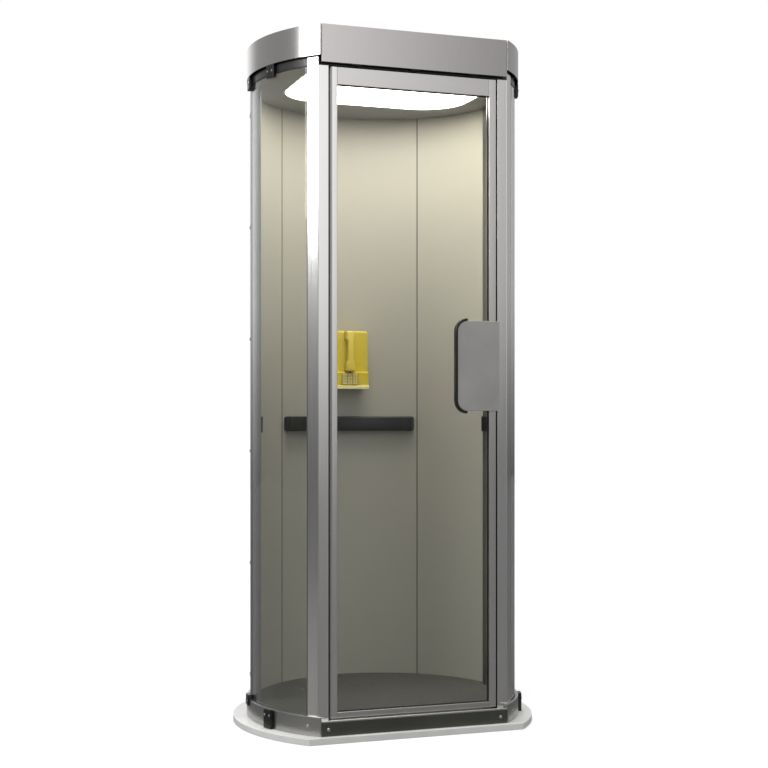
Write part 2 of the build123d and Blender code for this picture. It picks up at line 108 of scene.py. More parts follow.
def brushedMetal(name, colour, roughness, grain=(700, 700, 5), depth=0.00002, marks=0.02):
    material, tree, shader = newMaterial(name)
    lines = noise(tree, objectCoords(tree, grain), 1.0, 2)
    patches = noise(tree, objectCoords(tree), 3.0, 5, 0.6)
    darker = [c * 0.95 for c in colour]
    tint = colourRamp(tree, lines, [(0.3, darker), (0.7, colour)])
    tree.links.new(tint, shader.inputs["Base Color"])
    blend = tree.nodes.new("ShaderNodeMath")
    blend.operation = "MULTIPLY_ADD"
    tree.links.new(patches, blend.inputs[0])
    blend.inputs[1].default_value = marks
    tree.links.new(spread(tree, lines, roughness - 0.015, roughness + 0.015), blend.inputs[2])
    tree.links.new(blend.outputs[0], shader.inputs["Roughness"])
    shader.inputs["Metallic"].default_value = 1.0
    bump(tree, shader, lines, depth, 0.12)
    return material


def paintedSurface(name, colour, roughness, peel=260, depth=0.00006, coat=0.0, wear=0.1, metal=0.0):
    material, tree, shader = newMaterial(name)
    vector = objectCoords(tree)
    cloud = noise(tree, vector, 4.0, 5, 0.6)
    fine = noise(tree, vector, peel, 2)
    light = [min(1, c * (1 + wear)) for c in colour]
    dark = [c * (1 - wear) for c in colour]
    tint = colourRamp(tree, cloud, [(0.35, dark), (0.65, light)])
    tree.links.new(tint, shader.inputs["Base Color"])
    tree.links.new(spread(tree, cloud, roughness - 0.05, roughness + 0.07), shader.inputs["Roughness"])
    shader.inputs["Metallic"].default_value = metal
    shader.inputs["Coat Weight"].default_value = coat
    shader.inputs["Coat Roughness"].default_value = 0.08
    bump(tree, shader, fine, depth, 0.5)
    return material


def wallLaminate(name, colour, roughness):
    # solid laminate: fine speckle, a slow cast in the sheet, and painted shade that darkens it towards the
    # floor
    material, tree, shader = newMaterial(name)
    vector = objectCoords(tree)
    speckle = noise(tree, vector, 900, 2)
    cast = noise(tree, vector, 1.5, 4, 0.6)
    split = tree.nodes.new("ShaderNodeSeparateXYZ")
    tree.links.new(vector, split.inputs[0])
    # painted shade: the base colour darkens towards the floor, standing in for the fall-off of the ceiling
    # light
    low = colourRamp(tree, spread(tree, split.outputs["Z"], 0, 1, 0.1, 1.6),
                     [(0.0, [c * 0.88 for c in colour]), (1.0, colour)])
    grain = colourRamp(tree, speckle, [(0.4, (0.95, 0.95, 0.95)), (0.6, (1, 1, 1))])
    mix = tree.nodes.new("ShaderNodeMixRGB")
    mix.blend_type = "MULTIPLY"
    mix.inputs["Fac"].default_value = 1.0
    tree.links.new(low, mix.inputs["Color1"])
    tree.links.new(grain, mix.inputs["Color2"])
    tree.links.new(mix.outputs["Color"], shader.inputs["Base Color"])
    tree.links.new(spread(tree, cast, roughness - 0.04, roughness + 0.06), shader.inputs["Roughness"])
    bump(tree, shader, speckle, 0.00003, 0.4)
    return material


def phonePlastic(name, colour, lip, lipTop):
    # moulded gloss plastic, paler on the lip below the keys
    material, tree, shader = newMaterial(name)
    vector = objectCoords(tree)
    cloud = noise(tree, vector, 14, 4)
    split = tree.nodes.new("ShaderNodeSeparateXYZ")
    tree.links.new(vector, split.inputs[0])
    height = spread(tree, split.outputs["Z"], 0, 1, lipTop - 0.004, lipTop)
    body = colourRamp(tree, cloud, [(0.3, [c * 0.94 for c in colour]), (0.7, colour)])
    mix = tree.nodes.new("ShaderNodeMixRGB")
    tree.links.new(height, mix.inputs["Fac"])
    mix.inputs["Color1"].default_value = (*lip, 1)
    tree.links.new(body, mix.inputs["Color2"])
    tree.links.new(mix.outputs["Color"], shader.inputs["Base Color"])
    tree.links.new(spread(tree, cloud, 0.24, 0.34), shader.inputs["Roughness"])
    shader.inputs["Coat Weight"].default_value = 0.4
    shader.inputs["Coat Roughness"].default_value = 0.1
    bump(tree, shader, noise(tree, vector, 1100, 2), 0.00003, 0.4)
    return material


def clearGlass(name, tint, ior):
    material, tree, shader = newMaterial(name)
    smears = noise(tree, objectCoords(tree), 6.0, 5, 0.65)
    tree.links.new(spread(tree, smears, 0.0, 0.02), shader.inputs["Roughness"])
    shader.inputs["Base Color"].default_value = (*tint, 1)
    shader.inputs["Transmission Weight"].default_value = 1.0
    shader.inputs["IOR"].default_value = ior
    see = tree.nodes.new("ShaderNodeBsdfTransparent")
    see.inputs["Color"].default_value = (*tint, 1)
    path = tree.nodes.new("ShaderNodeLightPath")
    either = tree.nodes.new("ShaderNodeMath")
    either.operation = "MAXIMUM"
    tree.links.new(path.outputs["Is Shadow Ray"], either.inputs[0])
    tree.links.new(path.outputs["Is Diffuse Ray"], either.inputs[1])
    mix = tree.nodes.new("ShaderNodeMixShader")
    tree.links.new(either.outputs[0], mix.inputs["Fac"])
    tree.links.new(shader.outputs["BSDF"], mix.inputs[1])
    tree.links.new(see.outputs["BSDF"], mix.inputs[2])
    tree.links.new(mix.outputs["Shader"], tree.nodes["Material Output"].inputs["Surface"])
    return material


def glowing(name, colour, strength):
    material, tree, shader = newMaterial(name)
    cloud = noise(tree, objectCoords(tree), 2.0, 3)
    glow = colourRamp(tree, cloud, [(0.3, [c * 0.97 for c in colour]), (0.7, colour)])
    tree.links.new(glow, shader.inputs["Base Color"])
    tree.links.new(glow, shader.inputs["Emission Color"])
    shader.inputs["Emission Strength"].default_value = strength
    shader.inputs["Roughness"].default_value = 0.4
    return material


phoneLow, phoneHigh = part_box("phone_housing")
lipHeight = 0.013
alongX, alongZ = (5, 700, 700), (700, 700, 5)
finishes = {
    "fasciaSteel": brushedMetal("fasciaSteel", (0.50, 0.48, 0.475), 0.15, alongZ),
    "plinthSteel": brushedMetal("plinthSteel", (0.46, 0.455, 0.44), 0.30, alongX),
    # painted shade: the plinth front is painted near black for the shade and dark ground reflection on it,
    # while the curved skirt of the same plinth is steel
    "plinthDark": paintedSurface("plinthDark", (0.060, 0.063, 0.052), 0.34, metal=0.3),
    "postMetal": brushedMetal("postMetal", (0.80, 0.79, 0.78), 0.16, alongZ),
    "stileMetal": brushedMetal("stileMetal", (0.74, 0.72, 0.71), 0.18, alongZ),
    "railMetal": brushedMetal("railMetal", (0.66, 0.64, 0.63), 0.22, alongX),
    "polished": brushedMetal("polished", (0.70, 0.69, 0.67), 0.16, alongX),
    "screwSteel": brushedMetal("screwSteel", (0.62, 0.62, 0.60), 0.22, (40, 40, 40)),
    "rearPost": brushedMetal("rearPost", (0.26, 0.26, 0.25), 0.32, alongZ),
    "black": paintedSurface("black", (0.006, 0.006, 0.006), 0.30, peel=900, depth=0.00005),
    "blackSteel": paintedSurface("blackSteel", (0.020, 0.020, 0.019), 0.35, coat=0.2),
    "rubber": paintedSurface("rubber", (0.012, 0.012, 0.012), 0.6, peel=1200),
    "laminate": wallLaminate("laminate", (0.47, 0.445, 0.385), 0.42),
    "matRubber": paintedSurface("matRubber", (0.085, 0.081, 0.074), 0.5, peel=700, depth=0.0001),
    "slabPaint": paintedSurface("slabPaint", (0.88, 0.875, 0.86), 0.5, wear=0.05),
    "ceilingPaint": paintedSurface("ceilingPaint", (0.30, 0.30, 0.29), 0.45, wear=0.03),
    "trayPaint": paintedSurface("trayPaint", (0.80, 0.80, 0.78), 0.4, wear=0.02),
    "roofPaint": paintedSurface("roofPaint", (0.30, 0.30, 0.29), 0.5),
    "platePaint": paintedSurface("platePaint", (0.46, 0.455, 0.44), 0.36, metal=0.4),
    "opal": glowing("opal", (1.0, 0.97, 0.87), 9.0),
    "lamp": glowing("lamp", (1.0, 0.99, 0.95), 3.0),
    "glass": clearGlass("glass", (0.95, 0.97, 0.96), 1.45),
    "doorGlass": clearGlass("doorGlass", (0.97, 0.985, 0.975), 1.28),
    "phoneYellow": phonePlastic("phoneYellow", (0.74, 0.57, 0.02), (0.90, 0.80, 0.40),
                                phoneLow.z + lipHeight),
    "handsetYellow": phonePlastic("handsetYellow", (0.86, 0.66, 0.07), (0.86, 0.66, 0.07), 0.5),
    "keyPale": paintedSurface("keyPale", (0.80, 0.68, 0.26), 0.35, wear=0.03),
    "bezelOchre": paintedSurface("bezelOchre", (0.50, 0.38, 0.05), 0.4),
    "keyMark": paintedSurface("keyMark", (0.02, 0.02, 0.02), 0.5),
    "board": paintedSurface("board", (0.02, 0.15, 0.06), 0.35),
    "brass": brushedMetal("brass", (0.72, 0.52, 0.22), 0.25, alongZ),
    "spindle": brushedMetal("spindle", (0.5, 0.5, 0.5), 0.25, alongZ),
    "closer": paintedSurface("closer", (0.28, 0.28, 0.28), 0.4, metal=0.6),
}
nodeFinish = {
    "base_slab": "slabPaint", "base_frame": "blackSteel", "plinth_skirt": "plinthSteel",
    "plinth_front": "plinthDark", "door_sill": "polished", "floor_plate": "roofPaint",
    "floor_mat": "matRubber", "corner_post_left": "postMetal", "corner_post_right": "postMetal",
    "rear_posts": "rearPost", "side_glass_left": "glass", "side_glass_right": "glass",
    "rear_panel_centre": "laminate", "rear_panel_left": "laminate", "rear_panel_right": "laminate",
    "wall_seals": "rubber", "glass_clamps": "black", "wall_rail": "black",
    "header_frame": "blackSteel", "fascia_band": "fasciaSteel", "fascia_front": "fasciaSteel",
    "fascia_brackets": "blackSteel", "roof_pan": "roofPaint", "ceiling_panel": "ceilingPaint",
    "light_diffuser": "opal", "lamp_tray": "trayPaint", "light_strips": "lamp",
    "door_closer": "closer", "top_spindle": "spindle", "bottom_pivot": "spindle",
    "pivot_bush": "brass", "door_seal": "rubber", "hinge_stile": "stileMetal",
    "lock_stile": "stileMetal", "door_top_rail": "railMetal", "door_bottom_rail": "polished",
    "door_glass": "doorGlass", "door_gasket": "rubber", "pull_plate": "platePaint",
    "pull_grip": "black", "pull_standoffs": "polished", "phone_housing": "phoneYellow",
    "phone_back_plate": "black", "circuit_board": "board", "cable_gland": "black",
    "hook_plunger": "keyPale", "keypad_frame": "bezelOchre", "handset": "handsetYellow",
}
for name, node in nodes.items():
    node.data.materials.clear()
    node.data.materials.append(finishes[nodeFinish.get(name, "keyPale")])
print("materials:", len(finishes))


def newObject(name, mesh, finish):
    piece = bpy.data.objects.new(name, mesh)
    bpy.context.scene.collection.objects.link(piece)
    mesh.materials.clear()
    mesh.materials.append(finishes[finish])
    return piece


def settle(piece):
    # modifiers are turned into plain mesh
    graph = bpy.context.evaluated_depsgraph_get()
    mesh = bpy.data.meshes.new_from_object(piece.evaluated_get(graph))
    piece.modifiers.clear()
    piece.data = mesh
    return piece


def smooth(piece):
    for polygon in piece.data.polygons:
        polygon.use_smooth = True


def softenEdges(piece, width, segments=2, angle=30):
    bevel = piece.modifiers.new("edges", "BEVEL")
    bevel.width = width
    bevel.segments = segments
    bevel.limit_method = "ANGLE"
    bevel.angle_limit = radians(angle)
    bevel.use_clamp_overlap = True
    smooth(piece)
    normals = piece.modifiers.new("normals", "WEIGHTED_NORMAL")
    normals.keep_sharp = False
    return settle(piece)


def cleanForm(node):
    # a CAD node's loose triangles, joined up into flat faces
    form = bmesh.new()
    form.from_mesh(nodes[node].data)
    bmesh.ops.remove_doubles(form, verts=form.verts, dist=1e-6)
    bmesh.ops.dissolve_limit(form, angle_limit=radians(0.6), verts=form.verts, edges=form.edges)
    return form


def mergedCopy(node, name, finish):
    form = cleanForm(node)
    form.verts.index_update()
    points = [vertex.co[:] for vertex in form.verts]
    faces = [[vertex.index for vertex in face.verts] for face in form.faces]
    form.free()
    mesh = bpy.data.meshes.new(name)
    mesh.from_pydata(points, [], faces)
    mesh.update()
    return newObject(name, mesh, finish)


def camelCase(node):
    first, *rest = node.split("_")
    return first + "".join(word.capitalize() for word in rest)


def standsFor(piece, node):
    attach(piece, bodyOf[node])
    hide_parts(node)


def addDetail(piece, body):
    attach(piece, body)


def polar(radius, angle, z=0.0):
    # angles are in degrees from the back of the booth, positive to the right
    return Vector((radius * sin(radians(angle)), radius * cos(radians(angle)), z))


def meshFrom(name, points, faces, finish):
    mesh = bpy.data.meshes.new(name)
    mesh.from_pydata([tuple(p) for p in points], [], faces)
    form = bmesh.new()
    form.from_mesh(mesh)
    bmesh.ops.remove_doubles(form, verts=form.verts, dist=1e-7)
    bmesh.ops.recalc_face_normals(form, faces=form.faces)
    form.to_mesh(mesh)
    form.free()
    return newObject(name, mesh, finish)


def skin(rings):
    # points and faces of a closed tube through rings of equal length
    points, faces, count = [], [], len(rings[0])
    for ring in rings:
        points.extend(ring)
    for level in range(len(rings) - 1):
        base = level * count
        for k in range(count):
            n = (k + 1) % count
            faces.append((base + k, base + n, base + count + n, base + count + k))
    faces.append(tuple(reversed(range(count))))
    faces.append(tuple(range(len(points) - count, len(points))))
    return points, faces


def circle(radius, z, count, middle=0.0):
    return [Vector((radius * cos(2 * pi * k / count), middle + radius * sin(2 * pi * k / count), z))
            for k in range(count)]


def roundedOutline(x0, x1, y0, y1, radius, steps=5):
    outline = []
    for cx, cy, start in ((x1 - radius, y1 - radius, 0), (x0 + radius, y1 - radius, 90),
                          (x0 + radius, y0 + radius, 180), (x1 - radius, y0 + radius, 270)):
        for step in range(steps + 1):
            turn = radians(start + 90 * step / steps)
            outline.append((cx + radius * cos(turn), cy + radius * sin(turn)))
    return outline


# every sheet, bar and moulding gets its own rolled or broken edge
edgeWidths = {
    "base_slab": 0.004, "plinth_skirt": 0.0014, "plinth_front": 0.0012, "door_sill": 0.001,
    "corner_post_left": 0.0007, "corner_post_right": 0.0007, "rear_posts": 0.0015,
    "side_glass_left": 0.001, "side_glass_right": 0.001, "rear_panel_centre": 0.0012,
    "rear_panel_left": 0.0012, "rear_panel_right": 0.0012, "wall_seals": 0.0006,
    "glass_clamps": 0.0022, "header_frame": 0.0012, "fascia_band": 0.0014, "fascia_front": 0.0014,
    "fascia_brackets": 0.0012, "roof_pan": 0.0009, "ceiling_panel": 0.0008,
    "light_diffuser": 0.0012, "lamp_tray": 0.0006, "door_closer": 0.003, "door_seal": 0.0012,
    "hinge_stile": 0.001, "lock_stile": 0.0008, "door_top_rail": 0.0012, "door_bottom_rail": 0.0012,
    "door_glass": 0.0008, "door_gasket": 0.0008, "pull_plate": 0.0012, "pull_grip": 0.003,
    "pull_standoffs": 0.0016, "phone_housing": 0.0012, "phone_back_plate": 0.0008,
    "cable_gland": 0.0015, "hook_plunger": 0.0008, "keypad_frame": 0.0006, "floor_mat": 0.0008,
}
for node, width in edgeWidths.items():
    standsFor(softenEdges(mergedCopy(node, camelCase(node), nodeFinish[node]), width), node)
print("sheets, bars and mouldings:", len(edgeWidths))


def makeArmRail():
    # curved bar with a rounded end and a grooved cap line at each side; angles in degrees
    values = {"outer": 0.445, "depth": 0.038, "corner": 0.006, "leastCorner": 0.0012, "gap": 0.0002,
              "reach": 34.5, "capWidth": 3.6, "groove": 0.0009, "grooveFloor": 0.1, "grooveTop": 0.12,
              "clear": 0.2, "endRound": 0.006, "endSteps": 5, "steps": 46}
    low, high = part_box("wall_rail")
    outer, groove = values["outer"], values["groove"]
    inner = outer - values["depth"]
    endTurn = values["endRound"] / ((outer + inner) / 2) * 180 / pi
    stops = []
    for k in range(values["endSteps"] + 1):
        turn = radians(90 * k / values["endSteps"])
        stops.append((-values["reach"] + endTurn * (1 - cos(turn)), values["endRound"] * (1 - sin(turn))))
    seam = values["reach"] - values["capWidth"]
    floor, top = values["grooveFloor"], values["grooveTop"]
    stops += [(-seam - top, 0.0), (-seam - floor, groove), (-seam + floor, groove), (-seam + top, 0.0)]
    span = 2 * seam - 2 * values["clear"]
    body = [(-seam + values["clear"] + span * k / values["steps"], 0.0)
            for k in range(values["steps"] + 1)]
    stops = stops + body + [(-angle, inset) for angle, inset in reversed(stops)]
    rings = []
    for angle, inset in stops:
        corner = max(values["leastCorner"], values["corner"] - inset * 0.5)
        outline = roundedOutline(inner + inset, outer - values["gap"], low.z + inset, high.z - inset, corner)
        rings.append([polar(min(r, outer), angle, z) for r, z in outline])
    rail = meshFrom("armRail", *skin(rings), "black")
    smooth(rail)
    rail.data.set_sharp_from_angle(angle=radians(50))
    standsFor(rail, "wall_rail")


def makeHandset():
    # ear and mouth cups joined by a slim grip, lofted level by level
    values = {"cup": 0.034, "grip": 0.0115, "gripDepth": 0.016, "blend": 0.012, "edge": 0.006,
              "arch": 0.003, "foot": 0.005, "faceTuck": 0.7, "squareness": 3.2, "cupSquareness": 1.6,
              "levels": 56, "around": 32}
    low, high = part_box("handset")
    bottom = low.z + values["foot"]
    length = high.z - bottom
    halfWidth = (high.x - low.x) / 2

    def ease(t):
        t = max(0.0, min(1.0, t))
        return t * t * (3 - 2 * t)

    def rounded(t, power):
        return abs(t) ** (2 / power) * (1 if t >= 0 else -1)

    rings = []
    for k in range(values["levels"] + 1):
        up = length * (0.5 - 0.5 * cos(pi * k / values["levels"]))
        fromEnd = min(up, length - up)
        cup = 1 - ease((fromEnd - values["cup"] + values["blend"] / 2) / values["blend"])
        half = values["grip"] + (halfWidth - values["grip"]) * cup
        front = low.y + values["arch"] * (1 - sin(pi * up / length))
        back = low.y + values["gripDepth"] + (high.y - low.y - values["gripDepth"]) * cup
        tuck = 0.0
        if fromEnd < values["edge"]:
            tuck = values["edge"] * (1 - max(0.0, 1 - (1 - fromEnd / values["edge"]) ** 2) ** 0.5)
        half = half - tuck
        front, back = front + tuck * values["faceTuck"], back - tuck * values["faceTuck"]
        power = values["squareness"] + values["cupSquareness"] * cup
        ring = []
        for j in range(values["around"]):
            turn = 2 * pi * j / values["around"]
            ring.append(Vector((half * rounded(cos(turn), power),
                                (front + back) / 2 + (back - front) / 2 * rounded(sin(turn), power),
                                bottom + up)))
        rings.append(ring)
    handset = meshFrom("handset", *skin(rings), "handsetYellow")
    smooth(handset)
    standsFor(handset, "handset")

    # ribbed sleeve at the foot
    sleeveValues = {"rings": 13, "around": 20, "overlap": 0.004, "pitch": 0.00075, "radius": 0.0036,
                    "taper": 0.00008, "rib": 0.0004}
    boot = []
    for k in range(sleeveValues["rings"]):
        z = bottom + sleeveValues["overlap"] - k * sleeveValues["pitch"]
        radius = sleeveValues["radius"] - k * sleeveValues["taper"] + (sleeveValues["rib"] if k % 2 else 0.0)
        boot.append(circle(radius, z, sleeveValues["around"], low.y + values["gripDepth"]))
    sleeve = meshFrom("handsetSleeve", *skin(boot), "rubber")
    addDetail(sleeve, "handset")


def makeKeys():
    values = {"digitSize": 0.0056, "raise": 0.00008, "edge": 0.00045}
    signs = {"star": "*", "hash": "#"}
    keys = [node for node in nodes if node.startswith("key_")]
    for node in keys:
        label = node.split("_")[1]
        low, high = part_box(node)
        standsFor(softenEdges(mergedCopy(node, camelCase(node), "keyPale"), values["edge"]), node)
        curve = bpy.data.curves.new("mark_" + label, "FONT")
        curve.body = signs.get(label, label)
        curve.size = values["digitSize"]
        curve.align_x = "CENTER"
        curve.align_y = "CENTER"
        curve.extrude = values["raise"]
        holder = bpy.data.objects.new("mark_" + label, curve)
        bpy.context.scene.collection.objects.link(holder)
        graph = bpy.context.evaluated_depsgraph_get()
        mesh = bpy.data.meshes.new_from_object(holder.evaluated_get(graph))
        bpy.data.objects.remove(holder)
        middleX, middleZ = (low.x + high.x) / 2, (low.z + high.z) / 2
        for vertex in mesh.vertices:
            x, y, z = vertex.co
            vertex.co = (middleX + x, low.y - z, middleZ + y)
        mesh.update()
        mark = newObject("keyMark" + label.capitalize(), mesh, "keyMark")
        addDetail(mark, bodyOf[node])
    print("keys with marks:", len(keys))


def makeLightTrim():
    # thin frame that covers the cut edge of the ceiling round the opal sheet
    values = {"lip": 0.0078, "width": 0.006, "drop": 0.0042, "edge": 0.0006}
    form = cleanForm("light_diffuser")
    form.normal_update()
    under = [face for face in form.faces if face.normal.z < -0.9]
    bmesh.ops.delete(form, geom=[face for face in form.faces if face not in under], context="FACES")
    # the sheet's underside has no neighbours left, so its outline is inset only with use_boundary
    bmesh.ops.inset_region(form, faces=form.faces[:], thickness=values["lip"], use_even_offset=True,
                           use_boundary=True)
    form.normal_update()
    centre = max(form.faces, key=lambda face: face.calc_area())
    outside = [face for face in form.faces if face is not centre]
    bmesh.ops.delete(form, geom=outside, context="FACES")
    bmesh.ops.inset_region(form, faces=form.faces[:], thickness=values["width"], use_even_offset=True,
                           use_boundary=True)
    centre = max(form.faces, key=lambda face: face.calc_area())
    bmesh.ops.delete(form, geom=[centre], context="FACES")
    lower = bmesh.ops.extrude_face_region(form, geom=form.faces[:])
    for vertex in [part for part in lower["geom"] if isinstance(part, bmesh.types.BMVert)]:
        vertex.co.z -= values["drop"]
    bmesh.ops.recalc_face_normals(form, faces=form.faces)
    mesh = bpy.data.meshes.new("lightTrim")
    form.to_mesh(mesh)
    form.free()
    trim = softenEdges(newObject("lightTrim", mesh, "postMetal"), values["edge"])
    addDetail(trim, "booth")


def makeRoofRibs():
    # stiffening ribs across the roof pan, lower than the edge of the fascia
    values = {"width": 0.03, "height": 0.0028, "pitch": 0.14, "count": 5, "setback": 0.07,
              "panRadius": 0.4615, "front": -0.26, "taper": 0.015, "rise": (0.15, 0.8, 1.0),
              "narrowest": 0.6, "sink": 0.0005, "shoulder": 0.6, "shoulderLift": 0.8}
    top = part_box("roof_pan")[1].z
    foot = top - values["sink"]
    ends = list(enumerate(values["rise"]))
    points, faces = [], []
    for k in range(values["count"]):
        x = (k - (values["count"] - 1) / 2) * values["pitch"]
        reach = (values["panRadius"] ** 2 - x * x) ** 0.5 - values["setback"]
        stations = [(values["front"] + values["taper"] * n, scale) for n, scale in ends]
        stations += [(reach - values["taper"] * n, scale) for n, scale in reversed(ends)]
        rings = []
        for y, scale in stations:
            half = values["width"] / 2 * (values["narrowest"] + (1 - values["narrowest"]) * scale)
            lift = values["height"] * scale
            inward, shoulder = half * values["shoulder"], top + lift * values["shoulderLift"]
            rings.append([Vector((x - half, y, foot)), Vector((x - inward, y, shoulder)),
                          Vector((x, y, top + lift)), Vector((x + inward, y, shoulder)),
                          Vector((x + half, y, foot))])
        ribPoints, ribFaces = skin(rings)
        faces += [tuple(i + len(points) for i in face) for face in ribFaces]
        points += ribPoints
    ribs = meshFrom("roofRibs", points, faces, "roofPaint")
    smooth(ribs)
    addDetail(ribs, "booth")


makeArmRail()
makeHandset()
makeKeys()
makeLightTrim()
makeRoofRibs()
print("arm rail, handset, keys, light trim and roof ribs ready")


def screwHead():
    # low round head with a hexagon socket
    values = {"radius": 0.005, "height": 0.0022, "socket": 0.0022, "flat": 0.8661, "depth": 0.0014,
              "around": 12, "dome": ((1, 0), (1, 0.45), (0.82, 0.9), (0.62, 1))}
    n = values["around"]
    rings = [circle(values["radius"] * wide, values["height"] * up, n) for wide, up in values["dome"]]
    for z in (values["height"], values["height"] - values["depth"]):
        ring = []
        for k in range(n):
            radius = values["socket"] * (1.0 if k % 2 else values["flat"])
            ring.append(Vector((radius * cos(2 * pi * k / n), radius * sin(2 * pi * k / n), z)))
        rings.append(ring)
    return meshFrom("screwHead", *skin(rings), "screwSteel")


def matStud():
    values = {"around": 10, "profile": ((0.0058, 0), (0.0054, 0.0005), (0.0036, 0.0008))}
    rings = [circle(radius, z, values["around"]) for radius, z in values["profile"]]
    return meshFrom("matStud", *skin(rings), "matRubber")


def socketIds(tree):
    return {item.name: item.identifier for item in tree.interface.items_tree
            if item.item_type == "SOCKET" and item.in_out == "INPUT"}


def newTree(name, inputs):
    tree = bpy.data.node_groups.new(name, "GeometryNodeTree")
    tree.interface.new_socket("Geometry", in_out="INPUT", socket_type="NodeSocketGeometry")
    for label, kind in inputs:
        tree.interface.new_socket(label, in_out="INPUT", socket_type=kind)
    tree.interface.new_socket("Geometry", in_out="OUTPUT", socket_type="NodeSocketGeometry")
    return tree, tree.nodes.new("NodeGroupInput"), tree.nodes.new("NodeGroupOutput")


def fixingTree():
    # one head on every point, square to the sheet it holds, each turned its own way
    tree, given, result = newTree("fixings", [("Head", "NodeSocketObject"), ("Size", "NodeSocketFloat"),
                                              ("Seed", "NodeSocketInt"), ("Finish", "NodeSocketMaterial")])
    facing = tree.nodes.new("GeometryNodeInputNamedAttribute")
    facing.data_type = "FLOAT_VECTOR"
    facing.inputs["Name"].default_value = "facing"
    align = tree.nodes.new("FunctionNodeAlignRotationToVector")
    align.axis = "Z"
    chance = tree.nodes.new("FunctionNodeRandomValue")
    chance.data_type = "FLOAT"
    spin = tree.nodes.new("FunctionNodeAxisAngleToRotation")
    spin.inputs["Axis"].default_value = (0, 0, 1)
    turn = tree.nodes.new("FunctionNodeRotateRotation")
    turn.rotation_space = "LOCAL"
    head = tree.nodes.new("GeometryNodeObjectInfo")
    place = tree.nodes.new("GeometryNodeInstanceOnPoints")
    realize = tree.nodes.new("GeometryNodeRealizeInstances")
    paint = tree.nodes.new("GeometryNodeSetMaterial")
    link = tree.links.new
    link(facing.outputs[0], align.inputs["Vector"])
    link(given.outputs["Seed"], chance.inputs["Seed"])
    lows = [s for s in chance.inputs if s.name == "Min" and s.enabled]
    highs = [s for s in chance.inputs if s.name == "Max" and s.enabled]
    lows[0].default_value, highs[0].default_value = 0.0, 2 * pi
    value = [s for s in chance.outputs if s.enabled][0]
    link(value, spin.inputs["Angle"])
    link(align.outputs["Rotation"], turn.inputs["Rotation"])
    link(spin.outputs["Rotation"], turn.inputs["Rotate By"])
    link(given.outputs["Head"], head.inputs["Object"])
    link(given.outputs["Geometry"], place.inputs["Points"])
    link(head.outputs["Geometry"], place.inputs["Instance"])
    link(turn.outputs["Rotation"], place.inputs["Rotation"])
    link(given.outputs["Size"], place.inputs["Scale"])
    link(place.outputs["Instances"], realize.inputs["Geometry"])
    link(realize.outputs["Geometry"], paint.inputs["Geometry"])
    link(given.outputs["Finish"], paint.inputs["Material"])
    link(paint.outputs["Geometry"], result.inputs["Geometry"])
    return tree


def studTree():
    # a grid of studs over the mat, kept clear of its curved edge and flat front
    tree, given, result = newTree("studs", [("Stud", "NodeSocketObject"), ("Pitch", "NodeSocketFloat"),
                                            ("Reach", "NodeSocketFloat"), ("Front", "NodeSocketFloat"),
                                            ("Level", "NodeSocketFloat"), ("Finish", "NodeSocketMaterial")])
    link = tree.links.new

    def mathNode(operation, a, b):
        node = tree.nodes.new("ShaderNodeMath")
        node.operation = operation
        for socket, value in zip(node.inputs, (a, b)):
            if isinstance(value, (int, float)):
                socket.default_value = value
            else:
                link(value, socket)
        return node.outputs[0]

    width = mathNode("MULTIPLY", given.outputs["Reach"], 2.0)
    count = mathNode("DIVIDE", width, given.outputs["Pitch"])
    grid = tree.nodes.new("GeometryNodeMeshGrid")
    for label in ("Size X", "Size Y"):
        link(width, grid.inputs[label])
    for label in ("Vertices X", "Vertices Y"):
        link(count, grid.inputs[label])
    position = tree.nodes.new("GeometryNodeInputPosition")
    split = tree.nodes.new("ShaderNodeSeparateXYZ")
    link(position.outputs[0], split.inputs[0])
    length = tree.nodes.new("ShaderNodeVectorMath")
    length.operation = "LENGTH"
    link(position.outputs[0], length.inputs[0])
    tooFar = mathNode("GREATER_THAN", length.outputs["Value"], given.outputs["Reach"])
    tooNear = mathNode("LESS_THAN", split.outputs["Y"], given.outputs["Front"])
    outside = mathNode("MAXIMUM", tooFar, tooNear)
    drop = tree.nodes.new("GeometryNodeDeleteGeometry")
    drop.domain = "POINT"
    link(grid.outputs["Mesh"], drop.inputs["Geometry"])
    link(outside, drop.inputs["Selection"])
    raised = tree.nodes.new("ShaderNodeCombineXYZ")
    link(given.outputs["Level"], raised.inputs["Z"])
    lift = tree.nodes.new("GeometryNodeSetPosition")
    link(drop.outputs["Geometry"], lift.inputs["Geometry"])
    link(raised.outputs[0], lift.inputs["Offset"])
    stud = tree.nodes.new("GeometryNodeObjectInfo")
    link(given.outputs["Stud"], stud.inputs["Object"])
    place = tree.nodes.new("GeometryNodeInstanceOnPoints")
    link(lift.outputs["Geometry"], place.inputs["Points"])
    link(stud.outputs["Geometry"], place.inputs["Instance"])
    realize = tree.nodes.new("GeometryNodeRealizeInstances")
    link(place.outputs["Instances"], realize.inputs["Geometry"])
    paint = tree.nodes.new("GeometryNodeSetMaterial")
    link(realize.outputs["Geometry"], paint.inputs["Geometry"])
    link(given.outputs["Finish"], paint.inputs["Material"])
    link(paint.outputs["Geometry"], result.inputs["Geometry"])
    return tree


def runTree(name, mesh, tree, settings, finish):
    piece = bpy.data.objects.new(name, mesh)
    bpy.context.scene.collection.objects.link(piece)
    modifier = piece.modifiers.new("nodes", "NODES")
    modifier.node_group = tree
    ids = socketIds(tree)
    for label, value in settings.items():
        modifier[ids[label]] = value
    settle(piece)
    piece.data.materials.clear()
    piece.data.materials.append(finishes[finish])
    return piece


def fixings(name, places, head, tree, size, body, finish="screwSteel"):
    mesh = bpy.data.meshes.new(name)
    mesh.from_pydata([tuple(point) for point, _ in places], [], [])
    facing = mesh.attributes.new("facing", "FLOAT_VECTOR", "POINT")
    for entry, (_, direction) in zip(facing.data, places):
        entry.vector = direction
    settings = {"Head": head, "Size": size, "Seed": 7, "Finish": finishes[finish]}
    addDetail(runTree(name, mesh, tree, settings, finish), body)


